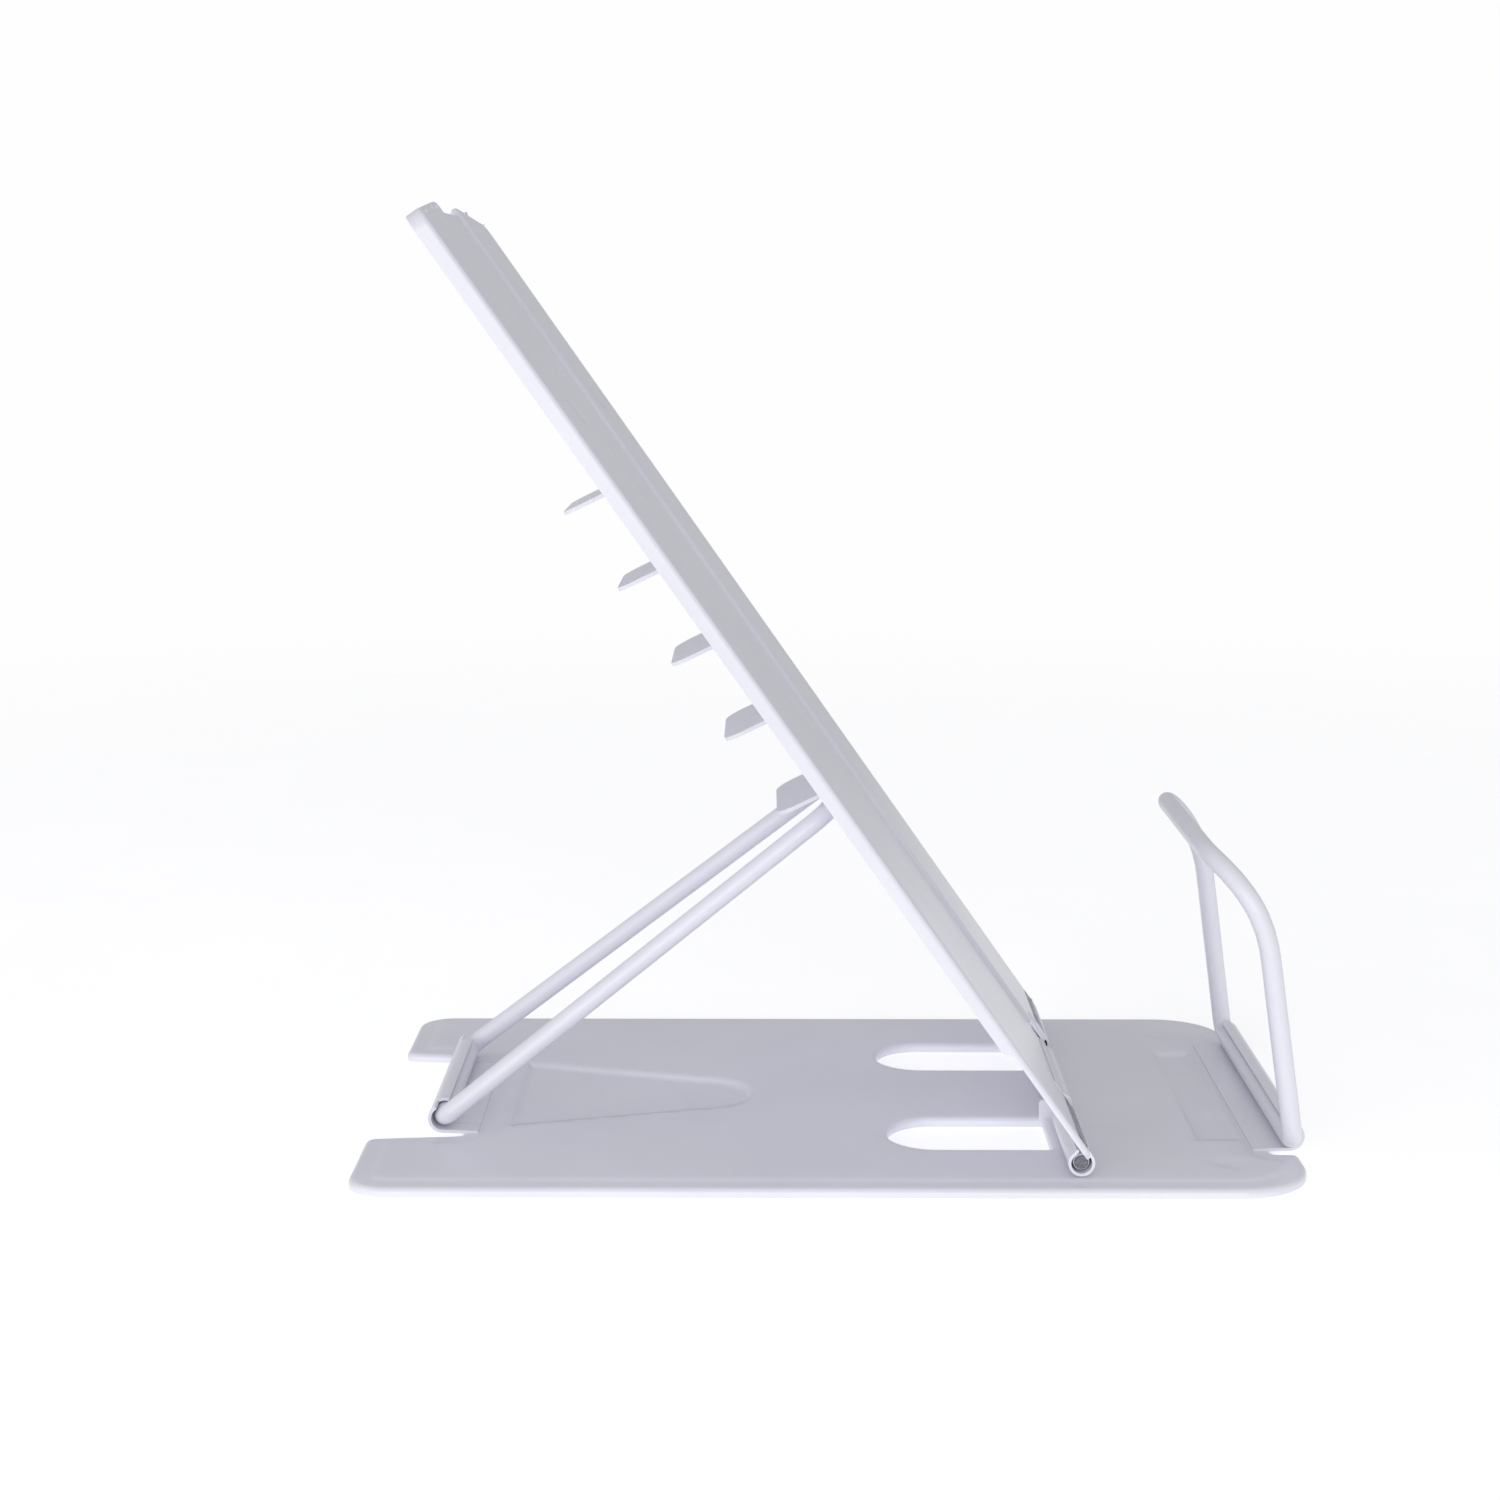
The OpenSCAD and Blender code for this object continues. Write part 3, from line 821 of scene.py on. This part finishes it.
def foot(node, material):
    """A moulded pad with a shallow hollow in its underside."""
    low, high = node_box(node)
    x, y = (low[:2] + high[:2]) / 2
    r, tall = (high[0] - low[0]) / 2, high[2]
    outline = [(0, 0.25), (r * 0.45, 0.25), (r * 0.5, 0), (r - 0.5, 0), (r - 0.1, 0.2),
               (r, 0.5), (r, tall - 0.1), (r - 0.1, tall), (0, tall)]
    bm = bmesh.new()
    lathe(bm, outline, lambda a, b, z: ((x + a) * MM, (y + b) * MM, z * MM), PAD_SIDES)
    pad = finished(node + "_pad", [(bm, 0, 0)], material)
    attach(pad, "base")
    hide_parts(node)


hinge_rod()
FOOT_RUBBER = rubber()
for node in sorted(frame["nodes"]):
    if "foot" in node:
        foot(node, FOOT_RUBBER)

# ---- Stage, light and camera -----------------------------------------------

FLOOR_SIZE, FLOOR_GLOW = 12, 0.42
FADE_START, FADE_END = 0.3, 1.1
DOME_GLOW = 0.55
LIGHT_AIM = (0, 0, 0.1)
# The camera's place in metres, its dip below the horizon and its turn to the left
CAMERA_PLACE = (-0.017, -0.6663, 0.2124)
CAMERA_DIP, CAMERA_TURN = math.radians(9.9), math.radians(0.33)
CAMERA_LENS, CAMERA_SENSOR = 61.9, 36


def fade_out(material, start, end):
    """Lets a floor dissolve into the backdrop between two distances, in metres."""
    tree = material.node_tree
    coords = tree.nodes.new("ShaderNodeTexCoord")
    away = tree.nodes.new("ShaderNodeVectorMath")
    away.operation = "LENGTH"
    link(tree, coords, "Object", away, 0)
    part = span(tree, away, "Value", 0, 1)
    part.inputs["From Min"].default_value = start
    part.inputs["From Max"].default_value = end
    part.interpolation_type = "SMOOTHSTEP"
    mix = tree.nodes.new("ShaderNodeMixShader")
    link(tree, part, "Result", mix, 0)
    tree.links.new(tree.nodes["Principled BSDF"].outputs[0], mix.inputs[1])
    clear = tree.nodes.new("ShaderNodeBsdfTransparent")
    tree.links.new(clear.outputs[0], mix.inputs[2])
    tree.links.new(mix.outputs[0], tree.nodes["Material Output"].inputs["Surface"])


def floor():
    """A pale paper floor that glows a little and fades into the backdrop."""
    bpy.ops.mesh.primitive_plane_add(size=FLOOR_SIZE)
    obj = bpy.context.object
    obj.name = "floor"
    material = coated("floor_paper", (0.89, 0.89, 0.895), (0.91, 0.91, 0.915), 0.8, 0.02, 0)
    shader = material.node_tree.nodes["Principled BSDF"]
    shader.inputs["Emission Color"].default_value = (1, 1, 1, 1)
    shader.inputs["Emission Strength"].default_value = FLOOR_GLOW
    fade_out(material, FADE_START, FADE_END)
    obj.data.materials.append(material)


def softbox(name, place, size, power):
    """A rectangular area light that points at the object's middle."""
    light = bpy.data.lights.new(name, "AREA")
    light.shape = "RECTANGLE"
    light.size, light.size_y = size
    light.energy = power
    obj = bpy.data.objects.new(name, light)
    bpy.context.collection.objects.link(obj)
    obj.location = place
    obj.rotation_euler = (Vector(LIGHT_AIM) - Vector(place)).to_track_quat("-Z", "Y").to_euler()


def sky():
    """An even studio dome, with a white backdrop behind the object."""
    world = bpy.data.worlds.new("studio")
    bpy.context.scene.world = world
    world.use_nodes = True
    tree = world.node_tree
    dome = tree.nodes["Background"]
    dome.inputs["Color"].default_value = (0.97, 0.975, 1, 1)
    dome.inputs["Strength"].default_value = DOME_GLOW
    backdrop = tree.nodes.new("ShaderNodeBackground")
    backdrop.inputs["Color"].default_value = (0.99, 0.99, 0.995, 1)
    mix = tree.nodes.new("ShaderNodeMixShader")
    link(tree, tree.nodes.new("ShaderNodeLightPath"), "Is Camera Ray", mix, 0)
    tree.links.new(dome.outputs[0], mix.inputs[1])
    tree.links.new(backdrop.outputs[0], mix.inputs[2])
    tree.links.new(mix.outputs[0], tree.nodes["World Output"].inputs["Surface"])


def camera():
    data = bpy.data.cameras.new("camera")
    data.sensor_width = CAMERA_SENSOR
    data.lens = CAMERA_LENS
    data.clip_start = 0.05
    obj = bpy.data.objects.new("camera", data)
    bpy.context.collection.objects.link(obj)
    obj.location = CAMERA_PLACE
    obj.rotation_euler = (math.pi / 2 - CAMERA_DIP, 0, CAMERA_TURN)
    bpy.context.scene.camera = obj


floor()
sky()
softbox("front_box", (-0.3, -1.6, 0.4), (1.8, 0.8), 11)
softbox("rear_side_box", (-1.4, -0.6, 0.6), (0.8, 0.8), 2)
softbox("user_side_box", (1.5, -0.4, 0.7), (0.8, 0.8), 1)
camera()

scene = bpy.context.scene
scene.view_settings.view_transform = "Standard"
scene.view_settings.look = "None"
